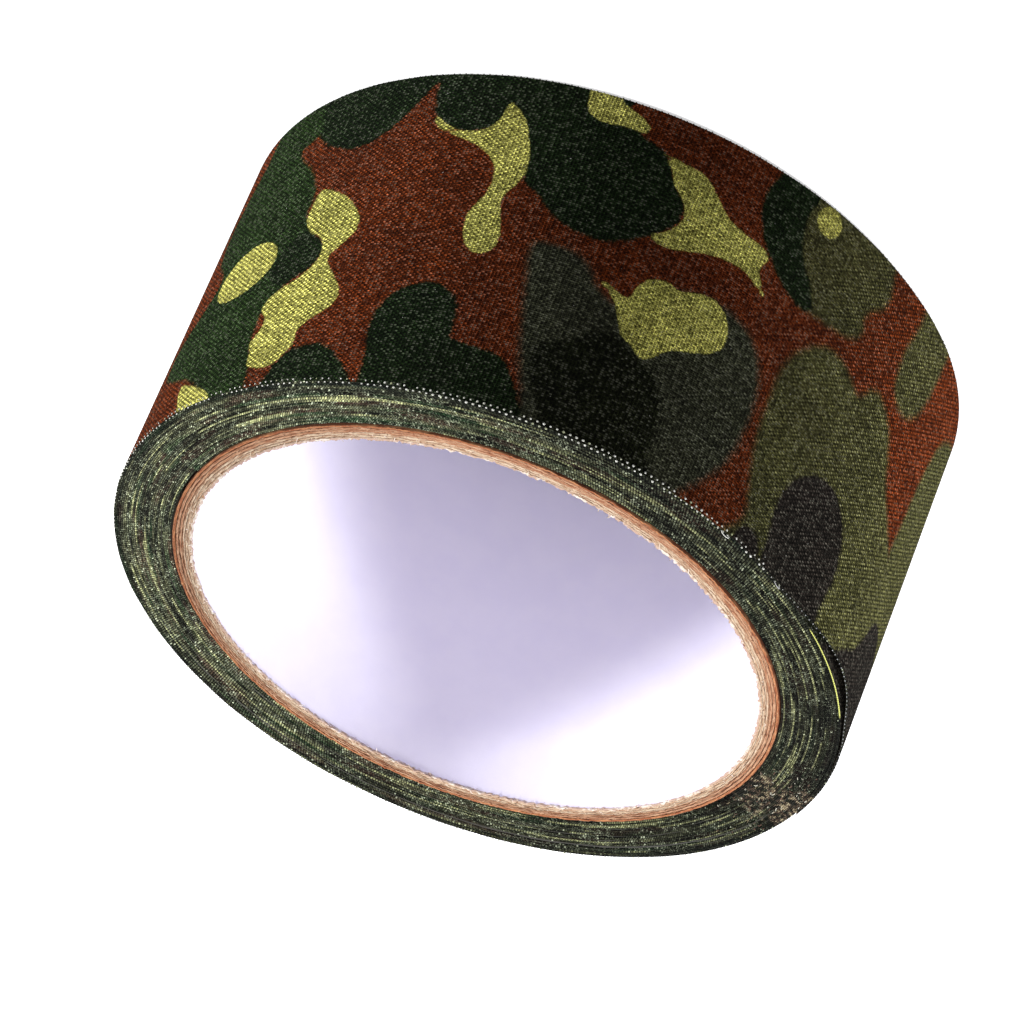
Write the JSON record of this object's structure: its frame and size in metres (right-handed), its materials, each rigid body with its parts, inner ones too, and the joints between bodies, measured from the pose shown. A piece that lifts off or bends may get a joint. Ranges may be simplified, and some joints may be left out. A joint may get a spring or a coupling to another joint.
{
  "type": "duct tape roll",
  "caption": "Roll of wide woven cloth duct tape wound on a laminated paper core, with its free end lifting off the roll.",
  "frame": {"origin": "centre of the core's bore, in the plane of the side the roll lies on", "axes": "+Z along the bore axis, away from the side the roll lies on; +X towards the tape's cut end"},
  "size_m": [0.0973, 0.0971, 0.0505],
  "materials": {
    "printed_cloth": "matt woven cotton, printed in brown, green and yellow-green",
    "adhesive": "tacky satin rubber coat",
    "core_paper": "matt brown core board",
    "liner_paper": "smooth matt white paper"
  },
  "bodies": {
    "roll": {"core_liner": "liner_paper", "core_ply_1": "core_paper", "core_ply_2": "core_paper", "core_ply_3": "core_paper", "core_ply_4": "core_paper", "core_ply_5": "core_paper", "wound_adhesive": "adhesive", "wound_backing": "printed_cloth"},
    "tail_1": {"tail_adhesive_1": "adhesive", "tail_backing_1": "printed_cloth"},
    "tail_2": {"tail_adhesive_2": "adhesive", "tail_backing_2": "printed_cloth"},
    "tail_3": {"tail_adhesive_3": "adhesive", "tail_backing_3": "printed_cloth"},
    "tail_4": {"tail_adhesive_4": "adhesive", "tail_backing_4": "printed_cloth"}
  },
  "joints": [
    {"name": "tail_peel", "type": "hinge", "parent": "roll", "child": "tail_1", "pos_m": [0.02289, 0.04293, 0.02525], "axis": [0, 0, 1], "range_deg": [0, 90]},
    {"name": "tail_bend_2", "type": "hinge", "parent": "tail_1", "child": "tail_2", "pos_m": [0.03436, 0.03614, 0.02525], "axis": [0, 0, 1], "range_deg": [0, 15.5]},
    {"name": "tail_bend_3", "type": "hinge", "parent": "tail_2", "child": "tail_3", "pos_m": [0.04194, 0.02516, 0.02525], "axis": [0, 0, 1], "range_deg": [0, 15.5]},
    {"name": "tail_bend_4", "type": "hinge", "parent": "tail_3", "child": "tail_4", "pos_m": [0.04692, 0.01299, 0.02525], "axis": [0, 0, 1], "range_deg": [0, 15.5]}
  ],
  "couplings": [
    {"joint": "tail_bend_2", "follows": "tail_peel", "ratio": 0.17222},
    {"joint": "tail_bend_3", "follows": "tail_peel", "ratio": 0.17222},
    {"joint": "tail_bend_4", "follows": "tail_peel", "ratio": 0.17222}
  ]
}
